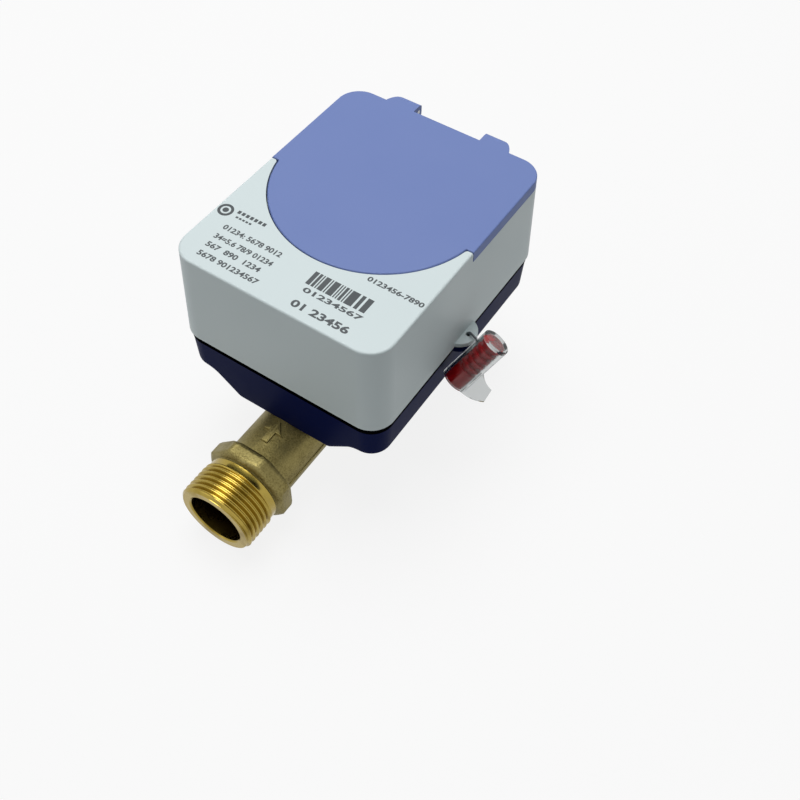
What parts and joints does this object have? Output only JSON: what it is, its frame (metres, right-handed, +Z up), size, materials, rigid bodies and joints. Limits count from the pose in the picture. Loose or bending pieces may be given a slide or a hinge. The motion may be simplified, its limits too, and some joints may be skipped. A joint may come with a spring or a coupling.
{
  "type": "ultrasonic water meter",
  "caption": "Ultrasonic water meter: a brass flow tube with threaded ends under a plastic casing that has a hinged display lid and a wire security seal.",
  "frame": {"origin": "centre of the inlet's sealing face, on the axis of the flow tube", "axes": "+Y along the flow from inlet to outlet, +Z up through the display, +X to the reader's right"},
  "size_m": [0.1133, 0.195, 0.1006],
  "materials": {
    "cast_brass": "sand-cast, dull, with bright machined threads",
    "turned_brass": "turned",
    "insert_plastic": "moulded",
    "mirror_steel": "polished face",
    "sensor_plastic": "moulded",
    "seal_rubber": "matt",
    "lead_rubber": "satin sheath",
    "base_plastic": "satin moulded",
    "screw_steel": "zinc plated",
    "cover_plastic": "fine satin moulded",
    "window_clear": "clear polished",
    "frame_plastic": "moulded",
    "display_glass": "polished",
    "board_laminate": "solder mask",
    "chip_plastic": "moulded",
    "shield_metal": "tinned",
    "can_aluminium": "drawn can",
    "socket_plastic": "moulded",
    "antenna_brass": "stamped strip",
    "cell_sleeve": "shrink sleeve",
    "spring_steel": "spring strip",
    "lid_plastic": "satin moulded",
    "pin_steel": "ground",
    "seal_clear": "clear moulded",
    "seal_red": "moulded",
    "wire_steel": "drawn wire"
  },
  "bodies": {
    "meter": {"flow_tube": "cast_brass", "measuring_insert": "insert_plastic", "inlet_mirror": "mirror_steel", "outlet_mirror": "mirror_steel", "inlet_sensor": "sensor_plastic", "outlet_sensor": "sensor_plastic", "inlet_sensor_seal": "seal_rubber", "outlet_sensor_seal": "seal_rubber", "inlet_holding_ring": "turned_brass", "outlet_holding_ring": "turned_brass", "inlet_lead": "lead_rubber", "outlet_lead": "lead_rubber", "base_housing": "base_plastic", "base_screws": "screw_steel", "casing_gasket": "seal_rubber", "casing_screws": "screw_steel", "top_cover": "cover_plastic", "display_window": "window_clear", "lcd_frame": "frame_plastic", "lcd_panel": "display_glass", "circuit_board": "board_laminate", "board_screws": "screw_steel", "flow_processor": "chip_plastic", "radio_module": "shield_metal", "pulse_capacitor": "can_aluminium", "lead_socket": "socket_plastic", "radio_antenna": "antenna_brass", "battery": "cell_sleeve", "battery_clip": "spring_steel"},
    "lid": {"display_lid": "lid_plastic", "left_hinge_pin": "pin_steel", "right_hinge_pin": "pin_steel"},
    "seal": {"seal_body": "seal_clear", "seal_rotor": "seal_red", "seal_wire": "wire_steel"}
  },
  "joints": [
    {"name": "lid_hinge", "type": "hinge", "parent": "meter", "child": "lid", "pos_m": [0, 0.16355, 0.0801], "axis": [-1, 0, 0], "range_deg": [0, 105]},
    {"name": "seal_swivel", "type": "hinge", "parent": "meter", "child": "seal", "pos_m": [0.0485, 0.1022, 0.042], "axis": [0, 0, 1], "range_deg": [0, 70]}
  ]
}
